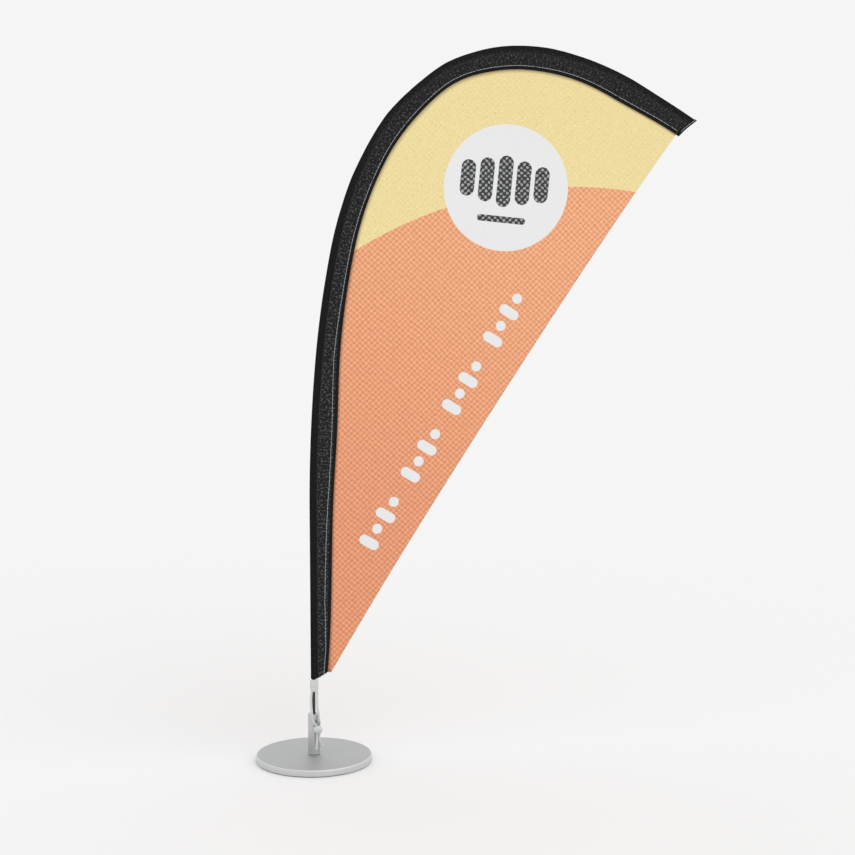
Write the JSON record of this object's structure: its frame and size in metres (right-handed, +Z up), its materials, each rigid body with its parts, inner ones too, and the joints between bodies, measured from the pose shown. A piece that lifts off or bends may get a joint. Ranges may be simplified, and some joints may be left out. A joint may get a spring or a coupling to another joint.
{
  "type": "teardrop flag",
  "caption": "Desktop teardrop flag: a printed cloth on a bent springy pole in a black sleeve, on a turning post with a round steel base.",
  "frame": {"origin": "centre of the base's underside, where the flag rests on a table", "axes": "+Z up along the post and the straight foot of the pole; the flag lies in the XZ plane with its free edge and tip towards +X; the cord's peg and bead are on the -Y side"},
  "size_m": [0.3128, 0.08, 0.4897],
  "materials": {
    "base_steel": "satin",
    "pad_rubber": "matte",
    "zinc_steel": "satin",
    "spindle_steel": "satin",
    "washer_plastic": "matte",
    "clip_steel": "satin",
    "bush_plastic": "satin",
    "post_metal": "satin",
    "peg_steel": "satin",
    "pole_black": "satin",
    "joint_steel": "satin",
    "cap_rubber": "matte",
    "sleeve_cloth": "matte",
    "margin_cloth": "matte",
    "printed_cloth": "matte",
    "tab_tape": "matte",
    "elastic_white": "matte",
    "bead_plastic": "gloss"
  },
  "bodies": {
    "base": {"base_plate": "base_steel", "base_pad": "pad_rubber", "base_screw": "zinc_steel", "spindle": "spindle_steel", "thrust_washer": "washer_plastic", "retaining_clip": "clip_steel"},
    "rotor": {"rotor_bush": "bush_plastic"},
    "flag": {"post": "post_metal", "cord_peg": "peg_steel", "pole_lower": "pole_black", "pole_joint_pin": "joint_steel", "pole_upper": "pole_black", "pole_tip_cap": "cap_rubber", "pole_sleeve": "sleeve_cloth", "seam_margin": "margin_cloth", "tip_hem": "margin_cloth", "flag_panel": "printed_cloth", "cord_tab": "tab_tape", "elastic_cord": "elastic_white"},
    "bead": {"cord_bead": "bead_plastic"}
  },
  "joints": [
    {"name": "flag_swivel", "type": "hinge", "parent": "base", "child": "rotor", "pos_m": [0, 0, 0.0055], "axis": [0, 0, 1], "continuous": true},
    {"name": "post_lift", "type": "slide", "parent": "rotor", "child": "flag", "axis": [0, 0, 1], "range_m": [0, 0.014]},
    {"name": "bead_slide", "type": "slide", "parent": "flag", "child": "bead", "axis": [0, 0, -1], "range_m": [0, 0.003]}
  ]
}
